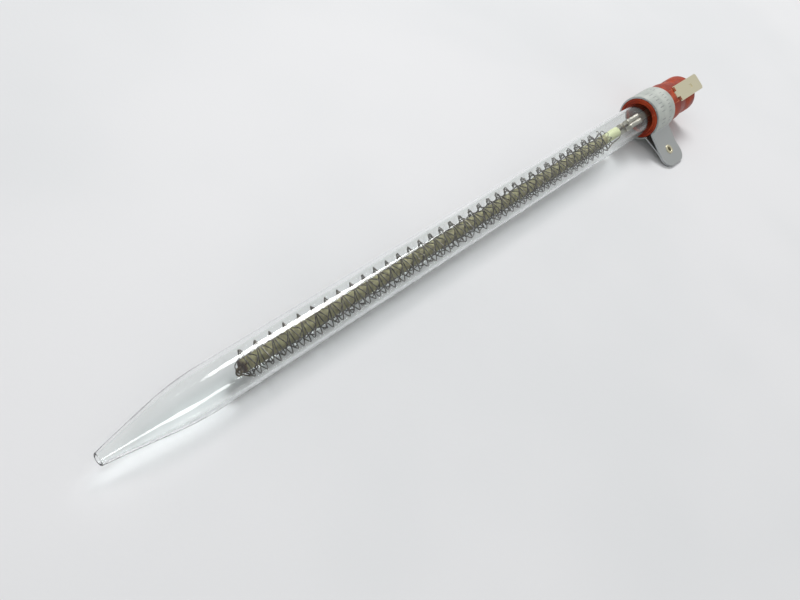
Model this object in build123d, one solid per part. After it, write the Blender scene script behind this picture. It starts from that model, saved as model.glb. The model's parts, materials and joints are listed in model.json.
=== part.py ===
from build123d import *
import math
import os

# In-line air heater element: a quartz tube drawn down to a nozzle, with a heating coil wound
# on a ceramic core inside it, a soft silicone end cap that takes the air line and holds the
# two blade terminals, and a strap clip riveted round the cap.
#
# Row frame, in millimetres: the tube's axis is X. The origin is the centre of the air inlet's
# mouth, in the cap's rear face. +X points out of that mouth and the nozzle points to -X.
# Every sub-part is drawn with the upper terminal straight up and the clip's ears towards -Y,
# then all of them are turned together about X by ROLL, which is how the element lies.

# ---- Driving dimensions ----
ROLL = 21.0                    # turn about the tube axis that brings the ears down to the table
TUBE_OD = 11.0
TUBE_WALL = 1.0
MOUTH_X = -261.0               # nozzle mouth
MOUTH_OD = 3.0
MOUTH_BORE = 2.0
TAPER_LENGTH = 22.2            # from the mouth to where cone and barrel would meet
SHOULDER_RADIUS = 78.0         # long soft run of the cone into the barrel
RIM_ROUND = 0.2                # fire-polished edges

CAP_LENGTH = 33.5
CAP_OD = 14.7
COLLAR_OD = 13.8               # rear end of the cap
COLLAR_LENGTH = 5.5
NECK_OD = 13.2                 # shallow waist in front of the collar
NECK_X = -8.0
SHOULDER_X = -13.6             # where the full diameter starts to fall to the waist
CAP_FRONT_ROUND = 0.7
CAP_REAR_ROUND = 1.2
CAP_FLOW_ROUND = 3.0           # between the cap's diameters
RING_INSET = 0.5               # moulded ring in the front face: its distance from the tube,
RING_WIDTH = 0.45
RING_DEPTH = 0.35
FLAT_MARGIN = 0.2              # room on each side of a blade on its flat
FLAT_GAP = 0.05                # and under it
SOCKET_DEPTH = 15.0            # how far the tube goes into the cap
CHAMBER_RADIUS = 4.3           # space behind the tube where the terminals turn outwards
INLET_RADIUS = 4.0
INLET_LENGTH = 13.0
GLUE_GAP = 0.02                # thin bond line round parts seated in each other

CORE_OD = 3.3
CORE_BORE = 1.2
CORE_CHAMFER = 0.15
CORE_START_X = -223.5
CORE_END_X = -51.0

COIL_TURNS = 35
COIL_PITCH = 4.57
COIL_START_X = -222.6
COIL_TUBE_RADIUS = 1.15        # the winding's loops reach from 1.7 to 4.0 from the axis
COIL_CENTRE_RADIUS = 2.85      # the middle of that space

WIRE_RADIUS = 0.3              # heavier leads that join the coil to the terminals
WIRE_END_INSET = 1.0           # the leads stop this far inside the ferrules' rear ends
RETURN_BEND = 1.2
RETURN_NOSE = 1.2              # how far the return wire stands out in front of the core
EYE_AHEAD = 1.3                # twisted eye at the nozzle end of the core: ahead of it,
EYE_SIDE = -0.85               # to one side,
EYE_RADIUS = 0.65
EYE_WIRE_RADIUS = 0.24
TAIL_WIRE_RADIUS = 0.2         # the eye's tail, which runs on into the coil
TAIL_BEND = 0.8
LEAD_BEND = 0.9
LEAD_CLEARANCE = 0.25          # between the coil lead and the core's side

STRIP_THICKNESS = 0.8          # sheet brass of the terminals
STRIP_WIDTH = 2.4              # inside the tube and through the cap wall
STRIP_HEIGHT = 1.4             # centre of the inner run above the axis
STRIP_START_X = -45.0
LEG_X = -14.8                  # centre of the leg that goes out through the wall
BLADE_WIDTH = 6.35             # quarter-inch push-on blade
BLADE_HEIGHT = 7.35            # its centre plane above the axis
BLADE_END_X = 4.0
BLADE_CHAMFER = 1.0
BLADE_FRONT = 0.35             # the blade starts this far in front of the bend's end
BLADE_ROOT = 3.0               # the strip runs on this far under the blade
TIP_BEVEL = 0.3                # share of the thickness taken off each side of the blade's tip
BEND_RADIUS = 0.75             # of the strip's centre line
DIMPLE = (2.2, 1.7, 0.25)      # locking dimple: along, across, deep
DIMPLE_X = -3.6

FERRULE_X = -46.0              # front end of the crimped ferrules
FERRULE_LENGTH = 8.0
FERRULE_WIDTH = 3.4
FERRULE_WALL = 0.45
FERRULE_CORNER = 0.3
HUMP_LIFT = 0.55               # centres of the two humps above the strip, as a share of their radius
HUMP_FILL = 1.1                # height of the metal between the humps, as a share of their radius

STRAP_WIDTH = 13.5
STRAP_THICKNESS = 0.45
STRAP_CLEARANCE = 0.05         # running clearance on the cap, so that the clip can be turned
STRAP_FRONT_X = -33.3
EAR_TIP = 21.6                 # ear tips' distance from the axis
EAR_PINCH = 14.3               # where the two ears come together
EAR_LEVEL = -0.45              # height of the plane in which they meet
EAR_ROOT_OUT = 6.6             # the ears' lines start here, just inside the round part,
EAR_ROOT_UPPER = 1.3           # at these heights
EAR_ROOT_LOWER = -2.2
EAR_GAP = 0.1                  # hairline left between the two layers
EAR_CORNER = 4.0
BEND_ROUND = 0.5
BEND_GROWTH = 0.5              # share of the thickness by which the inner bends are rounder
ROOT_THICKNESS = 1.1           # the slanted ears' height at the root, for each unit of thickness

EYELET_OUT = 15.8              # eyelet centre from the axis
EYELET_FLANGE_RADIUS = 1.8
EYELET_FLANGE = 0.3
EYELET_BARREL_RADIUS = 1.3
EYELET_BORE_RADIUS = 0.9
EYELET_ROLL = 0.8              # share of the flange's thickness that is rounded off
EYELET_CUTTER = 4.0            # length of the cutters, well beyond both flanges

LABEL_THICKNESS = 0.1
LABEL_WIDTH = 12.9
LABEL_START = 14.0             # degrees round from the ears, over the top
LABEL_END = 338.0

# ---- Worked-out sizes ----
TUBE_R = TUBE_OD / 2
BORE_R = TUBE_R - TUBE_WALL
CAP_R = CAP_OD / 2
CAP_FRONT_X = -CAP_LENGTH
TUBE_END_X = CAP_FRONT_X + SOCKET_DEPTH
STRAP_INNER_R = CAP_R + STRAP_CLEARANCE
STRAP_OUTER_R = STRAP_INNER_R + STRAP_THICKNESS
STRAP_MID_X = STRAP_FRONT_X + STRAP_WIDTH / 2
COIL_END_X = COIL_START_X + COIL_TURNS * COIL_PITCH
STRIP_TOP = STRIP_HEIGHT + STRIP_THICKNESS / 2
WIRE_HEIGHT = STRIP_TOP + WIRE_RADIUS + GLUE_GAP
WIRE_END_X = FERRULE_X + FERRULE_LENGTH - WIRE_END_INSET

CROSS_SECTION = Plane.YZ       # its local x is Y, its local y is Z and its normal is +X
ACROSS = Plane(origin=(0, 0, 0), x_dir=(1, 0, 0), z_dir=(0, -1, 0))   # seen from -Y: X right, Z up


def turned(points, rounds=()):
    """Solid turned about X from (x, radius) corners; rounds are (corner, fillet radius)."""
    outline = make_face(Polyline(*points, close=True))
    for corner, radius in rounds:
        vertex = outline.vertices().sort_by_distance((corner[0], corner[1], 0))[0]
        outline = fillet(vertex, radius)
    return revolve(outline, axis=Axis.X)


def drawn_end(mouth_radius, barrel_radius):
    """The tube's outside or inside: a cone that runs softly into a straight barrel."""
    corner = (MOUTH_X + TAPER_LENGTH, barrel_radius)
    points = [(MOUTH_X, 0), (MOUTH_X, mouth_radius), corner,
              (TUBE_END_X, barrel_radius), (TUBE_END_X, 0)]
    return turned(points, [(corner, SHOULDER_RADIUS)])


def wire_along(points, bend, radius=WIRE_RADIUS):
    """Round wire through the points, with bends of one radius."""
    path = FilletPolyline(*points, radius=bend)
    section = Plane(origin=path @ 0, z_dir=path % 0) * Circle(radius)
    return sweep(section, path=path)


def make_quartz_tube():
    tube = drawn_end(MOUTH_OD / 2, TUBE_R) - drawn_end(MOUTH_BORE / 2, BORE_R)
    ends = tube.edges().filter_by(GeomType.CIRCLE).group_by(Axis.X)
    return fillet(ends[0] + ends[-1], RIM_ROUND)


def make_end_cap():
    collar_r, neck_r = COLLAR_OD / 2, NECK_OD / 2
    front, collar_x = CAP_FRONT_X, -COLLAR_LENGTH
    points = [(front, 0), (front, CAP_R), (SHOULDER_X, CAP_R), (NECK_X, neck_r),
              (collar_x, collar_r), (0, collar_r), (0, 0)]
    rounds = [((front, CAP_R), CAP_FRONT_ROUND), ((SHOULDER_X, CAP_R), CAP_FLOW_ROUND),
              ((NECK_X, neck_r), CAP_FLOW_ROUND), ((collar_x, collar_r), CAP_FLOW_ROUND),
              ((0, collar_r), CAP_REAR_ROUND)]
    cap = turned(points, rounds)

    def bore(radius, start_x, end_x):
        return CROSS_SECTION.offset(start_x) * extrude(Circle(radius), end_x - start_x)

    cap -= bore(TUBE_R + GLUE_GAP, front, TUBE_END_X)
    cap -= bore(CHAMBER_RADIUS, TUBE_END_X, -INLET_LENGTH)
    cap -= bore(INLET_RADIUS, -INLET_LENGTH, 0)

    # A shallow ring moulded into the front face, round the tube.
    ring_r = TUBE_R + RING_INSET
    ring = CROSS_SECTION.offset(front) * (Circle(ring_r + RING_WIDTH) - Circle(ring_r))
    cap -= extrude(ring, amount=RING_DEPTH)

    # Slots for the two terminal legs, and a flat above each for the blade to lie on.
    slot_length = STRIP_THICKNESS + 2 * GLUE_GAP
    flat_x = LEG_X - STRIP_THICKNESS / 2 - BEND_RADIUS
    flat_height = BLADE_HEIGHT - STRIP_THICKNESS / 2 - FLAT_GAP
    standing = (Align.CENTER, Align.CENTER, Align.MIN)
    rearward = (Align.MIN, Align.CENTER, Align.MIN)
    for side in (0, 180):
        slot = Box(slot_length, STRIP_WIDTH + 2 * GLUE_GAP, CAP_R, align=standing)
        slot = Pos(LEG_X, 0, STRIP_HEIGHT) * slot
        flat = Box(CAP_LENGTH, BLADE_WIDTH + 2 * FLAT_MARGIN, CAP_R, align=rearward)
        flat = Pos(flat_x, 0, flat_height) * flat
        cap -= Rot(X=side) * (slot + flat)
    return cap


def make_ceramic_core():
    section = CROSS_SECTION.offset(CORE_START_X) * (Circle(CORE_OD / 2) - Circle(CORE_BORE / 2))
    core = extrude(section, amount=CORE_END_X - CORE_START_X)
    return chamfer(core.edges().filter_by(GeomType.CIRCLE), CORE_CHAMFER)


def make_heating_coil():
    """Simple form of the heating wire's winding: one ridge wound right-handed on the core.

    The wire itself is wound in triangles that turn a little from one to the next, and its
    corners stand out as ridges; this solid fills their space and keeps their pitch.
    """
    path = Helix(pitch=COIL_PITCH, height=COIL_TURNS * COIL_PITCH, radius=COIL_CENTRE_RADIUS)
    section = Plane(origin=path @ 0, z_dir=path % 0) * Circle(COIL_TUBE_RADIUS)
    coil = sweep(section, path=path, is_frenet=True)
    # The helix climbs Z from +X; laid along X, it starts beside the core on the -Y side.
    lay_down = Plane(origin=(COIL_START_X, 0, 0), x_dir=(0, -1, 0), z_dir=(1, 0, 0))
    return lay_down * coil


def make_return_wire():
    """Wire that comes back through the core, with the eye that joins it to the coil's start."""
    back = wire_along([(CORE_START_X - RETURN_NOSE, 0, 0), (CORE_END_X + 0.8, 0, 0),
                       (FERRULE_X - 0.9, 0, WIRE_HEIGHT),
                       (WIRE_END_X, 0, WIRE_HEIGHT)], bend=RETURN_BEND)
    eye_x = CORE_START_X - EYE_AHEAD
    eye = Pos(eye_x, EYE_SIDE, 0) * Torus(EYE_RADIUS, EYE_WIRE_RADIUS)
    tail = wire_along([(eye_x + 0.3, EYE_SIDE - EYE_RADIUS, 0), (eye_x + 1.2, EYE_SIDE - 1.4, 0),
                       (COIL_START_X, -COIL_CENTRE_RADIUS, 0)],
                      bend=TAIL_BEND, radius=TAIL_WIRE_RADIUS)
    return back + eye + tail


def make_coil_lead():
    """Wire from the coil's last turn, along the side of the core, to the lower ferrule."""
    side = -(CORE_OD / 2 + WIRE_RADIUS + LEAD_CLEARANCE)
    return wire_along([(COIL_END_X - 0.1, -COIL_CENTRE_RADIUS, 0),
                       (COIL_END_X + 2.2, side - 0.5, 0), (COIL_END_X + 7.0, side, -0.1),
                       (CORE_END_X + 0.3, side + 0.1, -0.5), (FERRULE_X - 1.2, 0, -WIRE_HEIGHT),
                       (WIRE_END_X, 0, -WIRE_HEIGHT)], bend=LEAD_BEND)


def make_terminal():
    """Upper terminal: strip from the ferrule, leg through the cap wall, blade along the cap."""
    path = FilletPolyline((STRIP_START_X, 0, STRIP_HEIGHT), (LEG_X, 0, STRIP_HEIGHT),
                          (LEG_X, 0, BLADE_HEIGHT), (LEG_X + BLADE_ROOT, 0, BLADE_HEIGHT),
                          radius=BEND_RADIUS)
    section = Plane(origin=path @ 0, x_dir=(0, 1, 0), z_dir=path % 0)
    strip = sweep(section * Rectangle(STRIP_WIDTH, STRIP_THICKNESS), path=path)

    blade_start = LEG_X + BEND_RADIUS - BLADE_FRONT
    blade = Box(BLADE_END_X - blade_start, BLADE_WIDTH, STRIP_THICKNESS,
                align=(Align.MIN, Align.CENTER, Align.CENTER))
    tip_corners = blade.edges().filter_by(Axis.Z).group_by(Axis.X)[-1]
    blade = chamfer(tip_corners, BLADE_CHAMFER)
    tip_edges = blade.faces().sort_by(Axis.X)[-1].edges().filter_by(Axis.Y)
    blade = chamfer(tip_edges, STRIP_THICKNESS * TIP_BEVEL)
    blade = Pos(blade_start, 0, BLADE_HEIGHT) * blade
    along, across, deep = DIMPLE
    dimple = Box(along, across, 2 * deep)
    dimple = Pos(DIMPLE_X, 0, BLADE_HEIGHT + STRIP_THICKNESS / 2) * dimple
    return strip + blade - dimple


def make_ferrule():
    """Upper ferrule: a sleeve whose two wings are rolled down on the wire in a double hump."""
    half = FERRULE_WIDTH / 2
    floor = STRIP_HEIGHT - STRIP_THICKNESS / 2 - FERRULE_WALL
    hump_radius = half / 2
    hump_height = STRIP_TOP + hump_radius * HUMP_LIFT
    base = RectangleRounded(FERRULE_WIDTH, hump_height - floor, FERRULE_CORNER)
    section = Pos(0, (floor + hump_height) / 2) * base
    section += [Pos(side * hump_radius, hump_height) * Circle(hump_radius) for side in (-1, 1)]
    section += Pos(0, hump_height) * Rectangle(hump_radius, hump_radius * HUMP_FILL)
    strip = Rectangle(STRIP_WIDTH + 2 * GLUE_GAP, STRIP_THICKNESS + GLUE_GAP)
    section -= Pos(0, STRIP_HEIGHT) * strip
    section -= Pos(0, WIRE_HEIGHT) * Circle(WIRE_RADIUS + GLUE_GAP)
    return extrude(CROSS_SECTION.offset(FERRULE_X) * section, amount=FERRULE_LENGTH)


def ear_outline(upper_root, lower_root, upper_level, lower_level, tip):
    """Flat outline of the space between the ears' upper and lower surfaces, ears towards -Y."""
    return Polygon((0, upper_root), (-EAR_ROOT_OUT, upper_root), (-EAR_PINCH, upper_level),
                   (-tip, upper_level), (-tip, lower_level), (-EAR_PINCH, lower_level),
                   (-EAR_ROOT_OUT, lower_root), (0, lower_root), align=None)


def bend_corners(outline):
    """The outline's corners where the strap bends: at the ears' roots and where they meet."""
    return [corner for corner in outline.vertices() if -EAR_PINCH - 0.1 < corner.X < 0]


def make_clamp_strap():
    layer = EAR_GAP / 2 + STRAP_THICKNESS
    outside = Circle(STRAP_OUTER_R) + ear_outline(
        EAR_ROOT_UPPER, EAR_ROOT_LOWER, EAR_LEVEL + layer, EAR_LEVEL - layer, EAR_TIP)
    root_layer = STRAP_THICKNESS * ROOT_THICKNESS
    inside = Circle(STRAP_INNER_R) + ear_outline(
        EAR_ROOT_UPPER - root_layer, EAR_ROOT_LOWER + root_layer,
        EAR_LEVEL + EAR_GAP / 2, EAR_LEVEL - EAR_GAP / 2, EAR_TIP + 1)
    outside = fillet(bend_corners(outside), BEND_ROUND)
    inside = fillet(bend_corners(inside), BEND_ROUND + STRAP_THICKNESS * BEND_GROWTH)
    strap = extrude(CROSS_SECTION.offset(STRAP_FRONT_X) * (outside - inside), amount=STRAP_WIDTH)

    # Rounded ear tips, and the eyelet's hole through both ears.
    window = RectangleRounded(2 * EAR_TIP, STRAP_WIDTH, EAR_CORNER)
    below = Plane(origin=(STRAP_MID_X, 0, -CAP_OD), x_dir=(0, 1, 0), z_dir=(0, 0, 1))
    strap = strap & extrude(below * window, amount=2 * CAP_OD)
    hole = Cylinder(EYELET_BARREL_RADIUS + GLUE_GAP, EYELET_CUTTER)
    return strap - Pos(STRAP_MID_X, -EYELET_OUT, EAR_LEVEL) * hole


def make_clamp_eyelet():
    """Tubular rivet through both ears, with a rolled flange on each side."""
    half = EAR_GAP / 2 + STRAP_THICKNESS
    eyelet = Cylinder(EYELET_BARREL_RADIUS, 2 * half)
    for side in (1, -1):
        flange = Cylinder(EYELET_FLANGE_RADIUS, EYELET_FLANGE)
        flange = Pos(0, 0, side * (half + EYELET_FLANGE / 2)) * flange
        rim = flange.edges().filter_by(GeomType.CIRCLE).sort_by(Axis.Z)[-1 if side > 0 else 0]
        eyelet += fillet(rim, EYELET_FLANGE * EYELET_ROLL)
    eyelet -= Cylinder(EYELET_BORE_RADIUS, EYELET_CUTTER)
    return Pos(STRAP_MID_X, -EYELET_OUT, EAR_LEVEL) * eyelet


def make_clamp_label():
    """Thin wrap-round label on the strap, from the upper ear over the top to the lower ear."""
    reach = 2 * CAP_R
    ring = Circle(STRAP_OUTER_R + LABEL_THICKNESS) - Circle(STRAP_OUTER_R)
    # Angles run from -Y, the ears' side, upwards.
    rays = [(-reach * math.cos(math.radians(a)), reach * math.sin(math.radians(a)))
            for a in (LABEL_START, 0, LABEL_END - 360)]
    gap = Polygon((0, 0), *rays, align=None)
    label = CROSS_SECTION.offset(STRAP_MID_X - LABEL_WIDTH / 2) * (ring - gap)
    return extrude(label, amount=LABEL_WIDTH)


nodes = {
    "quartz_tube": make_quartz_tube(),
    "end_cap": make_end_cap(),
    "ceramic_core": make_ceramic_core(),
    "heating_coil": make_heating_coil(),
    "return_wire": make_return_wire(),
    "coil_lead": make_coil_lead(),
    "upper_terminal": make_terminal(),
    "lower_terminal": Rot(X=180) * make_terminal(),
    "upper_ferrule": make_ferrule(),
    "lower_ferrule": Rot(X=180) * make_ferrule(),
    "clamp_strap": make_clamp_strap(),
    "clamp_eyelet": make_clamp_eyelet(),
    "clamp_label": make_clamp_label(),
}

os.makedirs("parts", exist_ok=True)
for name, shape in nodes.items():
    export_step(Rot(X=ROLL) * shape, f"parts/{name}.step")
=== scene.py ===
import json
import logging
import math
import random
from dataclasses import dataclass
from enum import Enum

import bmesh
import bpy
from mathutils import Matrix, Vector


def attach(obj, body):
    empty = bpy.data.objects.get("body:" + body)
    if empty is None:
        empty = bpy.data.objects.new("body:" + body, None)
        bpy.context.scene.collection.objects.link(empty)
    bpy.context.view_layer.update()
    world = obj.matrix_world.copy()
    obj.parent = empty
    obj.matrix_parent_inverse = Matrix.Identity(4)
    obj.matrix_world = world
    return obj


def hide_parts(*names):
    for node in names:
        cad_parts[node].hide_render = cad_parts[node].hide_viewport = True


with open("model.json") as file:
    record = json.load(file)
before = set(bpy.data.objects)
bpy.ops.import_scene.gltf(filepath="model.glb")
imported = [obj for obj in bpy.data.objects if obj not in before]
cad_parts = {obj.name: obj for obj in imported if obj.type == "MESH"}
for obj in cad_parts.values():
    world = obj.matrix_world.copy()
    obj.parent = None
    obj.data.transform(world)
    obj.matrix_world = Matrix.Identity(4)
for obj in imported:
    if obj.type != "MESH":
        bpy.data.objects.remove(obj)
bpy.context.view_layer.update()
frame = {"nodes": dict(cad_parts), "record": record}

# In-line air heater element. Every piece is drawn in the maker's pose, with the tube along X, the
# upper terminal straight up (+Z) and the clip's ears towards -Y, and is then turned about X by the
# roll that the frame gives. Lengths are metres; MM turns millimetres into them.

MM = 0.001
NEAR = 0.01 * MM
MERGE_DISTANCE = 1e-7
SEED = 23

log = logging.getLogger("heater_element")

Point2 = tuple[float, float]
Outline = list[Point2]
Colour = tuple[float, float, float, float]


# ---------------------------------------------------------------- layout from the frame


class Side(Enum):
    """Which of the two terminals a piece belongs to; the value is its turn about X in degrees."""

    UPPER = 0.0
    LOWER = 180.0


@dataclass(frozen=True)
class Layout:
    """Places that the frame gives, in metres: x along the tube, radii out from its axis."""

    roll: float
    mouth_x: float
    tube_end_x: float
    tube_r: float
    cap_front_x: float
    cap_r: float
    core_start_x: float
    core_end_x: float
    core_r: float
    coil_start_x: float
    coil_end_x: float
    coil_r: float
    ferrule_start_x: float
    ferrule_end_x: float
    strap_front_x: float
    strap_rear_x: float
    strap_r: float
    ear_tip: float
    label_front_x: float
    label_rear_x: float
    label_r: float
    eyelet: Vector
    eyelet_bore_r: float
    blade_end_x: float
    blade_top: float

    @classmethod
    def from_frame(cls) -> "Layout":
        """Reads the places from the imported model.

        Returns:
            The layout in the maker's pose.
        """
        mounts = {mount["name"]: mount for mount in frame["record"]["mounts"]}
        hole = mounts["clip_eyelet"]
        roll = math.atan2(-hole["axis"][1], hole["axis"][2])

        def box(node: str) -> tuple[Vector, Vector]:
            """The node's corners in the maker's pose."""
            unroll = Matrix.Rotation(-roll, 3, "X")
            spots = [unroll @ vertex.co for vertex in frame["nodes"][node].data.vertices]
            low = Vector([min(spot[axis] for spot in spots) for axis in range(3)])
            high = Vector([max(spot[axis] for spot in spots) for axis in range(3)])
            return low, high

        tube, cap, core = box("quartz_tube"), box("end_cap"), box("ceramic_core")
        coil, ferrule, strap = box("heating_coil"), box("upper_ferrule"), box("clamp_strap")
        label, blade = box("clamp_label"), box("upper_terminal")
        return cls(
            roll=roll,
            mouth_x=tube[0].x,
            tube_end_x=tube[1].x,
            tube_r=tube[1].z,
            cap_front_x=cap[0].x,
            cap_r=cap[1].y,
            core_start_x=core[0].x,
            core_end_x=core[1].x,
            core_r=core[1].z,
            coil_start_x=coil[0].x,
            coil_end_x=coil[1].x,
            coil_r=coil[1].z,
            ferrule_start_x=ferrule[0].x,
            ferrule_end_x=ferrule[1].x,
            strap_front_x=strap[0].x,
            strap_rear_x=strap[1].x,
            strap_r=strap[1].z,
            ear_tip=-strap[0].y,
            label_front_x=label[0].x,
            label_rear_x=label[1].x,
            label_r=label[1].z,
            eyelet=Matrix.Rotation(-roll, 3, "X") @ Vector(hole["pos_m"]),
            eyelet_bore_r=hole["dims"]["r_mm"] * MM,
            blade_end_x=blade[1].x,
            blade_top=blade[1].z,
        )


# ---------------------------------------------------------------- shop tools


def rounded(corners: Outline, radii: dict[int, float], steps: int = 6) -> Outline:
    """Rounds some corners of an outline with true arcs.

    Args:
        corners: The outline's corners in order.
        radii: The rounding radius of each corner to round, by its place in the list.
        steps: How many straight pieces make one arc.

    Returns:
        The outline with arcs in place of those corners.
    """
    result: Outline = []
    for place, corner in enumerate(corners):
        if place not in radii:
            result.append(corner)
            continue
        here = Vector(corner)
        before = (Vector(corners[place - 1]) - here).normalized()
        after = (Vector(corners[(place + 1) % len(corners)]) - here).normalized()
        half = before.angle(after) / 2
        radius = radii[place]
        centre = here + (before + after).normalized() * (radius / math.sin(half))
        start = (here + before * (radius / math.tan(half)) - centre).normalized()
        end = (here + after * (radius / math.tan(half)) - centre).normalized()
        for step in range(steps + 1):
            result.append(tuple(centre + start.slerp(end, step / steps) * radius))
    return result


def arc(centre: Point2, radius: float, start: float, end: float, steps: int) -> Outline:
    """Points on an arc.

    Args:
        centre: The arc's centre.
        radius: Its radius.
        start: The first point's angle in degrees.
        end: The last point's angle in degrees.
        steps: How many straight pieces make it.

    Returns:
        The points, both ends included.
    """
    angles = [math.radians(start + (end - start) * step / steps) for step in range(steps + 1)]
    return [(centre[0] + radius * math.cos(a), centre[1] + radius * math.sin(a)) for a in angles]


def turned(outline: Outline, segments: int) -> bmesh.types.BMesh:
    """Spins a closed (x, radius) outline fully round the X axis.

    Args:
        outline: The closed outline, clear of the axis.
        segments: The number of steps round.

    Returns:
        The closed solid.
    """
    bm = bmesh.new()
    verts = [bm.verts.new((x, 0.0, radius)) for x, radius in outline]
    edges = [bm.edges.new(pair) for pair in zip(verts, verts[1:] + verts[:1])]
    bmesh.ops.spin(
        bm, geom=verts + edges, cent=(0, 0, 0), axis=(1, 0, 0), angle=math.tau, steps=segments, use_merge=True
    )
    bmesh.ops.remove_doubles(bm, verts=bm.verts, dist=MERGE_DISTANCE)
    bmesh.ops.recalc_face_normals(bm, faces=bm.faces)
    return bm


def sheet_part(outline: Outline, thickness: float) -> bmesh.types.BMesh:
    """Cuts a flat plate: the outline lies in XY and its thickness is centred on Z = 0."""
    bm = bmesh.new()
    face = bm.faces.new([bm.verts.new((x, y, -thickness / 2)) for x, y in outline])
    rise = bmesh.ops.extrude_face_region(bm, geom=[face])
    lifted = [item for item in rise["geom"] if isinstance(item, bmesh.types.BMVert)]
    bmesh.ops.translate(bm, verts=lifted, vec=(0, 0, thickness))
    bmesh.ops.recalc_face_normals(bm, faces=bm.faces)
    return bm


def block(low: Vector, high: Vector) -> bmesh.types.BMesh:
    """A plain block between two corners, used as a cutter."""
    bm = bmesh.new()
    bmesh.ops.create_cube(bm, size=1.0)
    bmesh.ops.scale(bm, vec=high - low, verts=bm.verts)
    bmesh.ops.translate(bm, vec=(low + high) / 2, verts=bm.verts)
    return bm


def bevel_edges(bm: bmesh.types.BMesh, edges: list, offset: float, segments: int) -> None:
    """Rounds the given edges of a bmesh."""
    bmesh.ops.bevel(
        bm, geom=edges, offset=offset, offset_type="OFFSET", segments=segments,
        profile=0.5, affect="EDGES", material=-1, clamp_overlap=True,
    )


def cut_across(bm: bmesh.types.BMesh, places: list[float]) -> None:
    """Adds a ring of edges round a bmesh at each of the given places along X."""
    for x in places:
        geom = bm.verts[:] + bm.edges[:] + bm.faces[:]
        bmesh.ops.bisect_plane(bm, geom=geom, plane_co=(x, 0, 0), plane_no=(1, 0, 0), dist=MERGE_DISTANCE)


def stood_along_x(bm: bmesh.types.BMesh, start: float, end: float) -> bmesh.types.BMesh:
    """Turns a plate whose outline is (y, z) so that its thickness runs from start to end along X."""
    middle = (start + end) / 2
    stand = Matrix(((0, 0, 1, middle), (1, 0, 0, 0), (0, 1, 0, 0), (0, 0, 0, 1)))
    bmesh.ops.transform(bm, matrix=stand, verts=bm.verts)
    return bm


def as_mesh(bm: bmesh.types.BMesh, name: str) -> bpy.types.Mesh:
    """Turns a bmesh into a mesh and frees it."""
    mesh = bpy.data.meshes.new(name)
    bm.to_mesh(mesh)
    bm.free()
    return mesh


def as_bmesh(mesh: bpy.types.Mesh) -> bmesh.types.BMesh:
    """Turns a mesh into a bmesh and removes it."""
    bm = bmesh.new()
    bm.from_mesh(mesh)
    bpy.data.meshes.remove(mesh)
    return bm


class Cut(Enum):
    """How two solids are put together."""

    AWAY = "DIFFERENCE"
    JOIN = "UNION"


def combined(body: bmesh.types.BMesh, tool: bmesh.types.BMesh, how: Cut) -> bmesh.types.BMesh:
    """Puts two solids together with an exact boolean.

    Args:
        body: The solid that stays.
        tool: The solid that is cut away from it or joined to it.
        how: Whether it is cut or joined.

    Returns:
        The result, clean of doubles.
    """
    main = bpy.data.objects.new("body", as_mesh(body, "body"))
    other = bpy.data.objects.new("tool", as_mesh(tool, "tool"))
    for item in (main, other):
        bpy.context.scene.collection.objects.link(item)
    boolean = main.modifiers.new("cut", "BOOLEAN")
    boolean.operation, boolean.solver, boolean.object = how.value, "EXACT", other
    depsgraph = bpy.context.evaluated_depsgraph_get()
    result = as_bmesh(bpy.data.meshes.new_from_object(main.evaluated_get(depsgraph)))
    for item in (main, other):
        mesh = item.data
        bpy.data.objects.remove(item)
        bpy.data.meshes.remove(mesh)
    bmesh.ops.remove_doubles(result, verts=result.verts, dist=MERGE_DISTANCE)
    return result


def drawn_wire(
    points: list[Vector], radius: float, sides: int = 10, smooth: bool = True, closed: bool = False
) -> bmesh.types.BMesh:
    """Round wire along points.

    Args:
        points: The centre line's points, or its control points if smooth.
        radius: The wire's radius.
        sides: How many flats stand for its round section; an even number.
        smooth: Whether the points steer a smooth spline.
        closed: Whether the wire is a ring.

    Returns:
        The wire with its ends capped.
    """
    curve = bpy.data.curves.new("wire", "CURVE")
    curve.dimensions = "3D"
    curve.bevel_depth, curve.bevel_resolution = radius, sides // 2 - 2
    curve.use_fill_caps = not closed
    spline = curve.splines.new("NURBS" if smooth else "POLY")
    spline.points.add(len(points) - 1)
    for place, point in zip(spline.points, points):
        place.co = (*point, 1.0)
    if smooth:
        spline.order_u, spline.use_endpoint_u, spline.resolution_u = 3, not closed, 6
    spline.use_cyclic_u = closed
    holder = bpy.data.objects.new("wire", curve)
    bm = as_bmesh(bpy.data.meshes.new_from_object(holder))
    bpy.data.objects.remove(holder)
    bpy.data.curves.remove(curve)
    bmesh.ops.remove_doubles(bm, verts=bm.verts, dist=MERGE_DISTANCE)
    bmesh.ops.recalc_face_normals(bm, faces=bm.faces)
    return bm


def gathered(parts: list[bmesh.types.BMesh]) -> bmesh.types.BMesh:
    """Puts several separate solids into one bmesh."""
    result = bmesh.new()
    for part in parts:
        mesh = as_mesh(part, "part")
        result.from_mesh(mesh)
        bpy.data.meshes.remove(mesh)
    return result


@dataclass(frozen=True)
class Placing:
    """How a finished piece enters the scene: its name, body, the CAD node it stands for and its slot."""

    name: str
    body: str
    node: str
    slot: str


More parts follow.
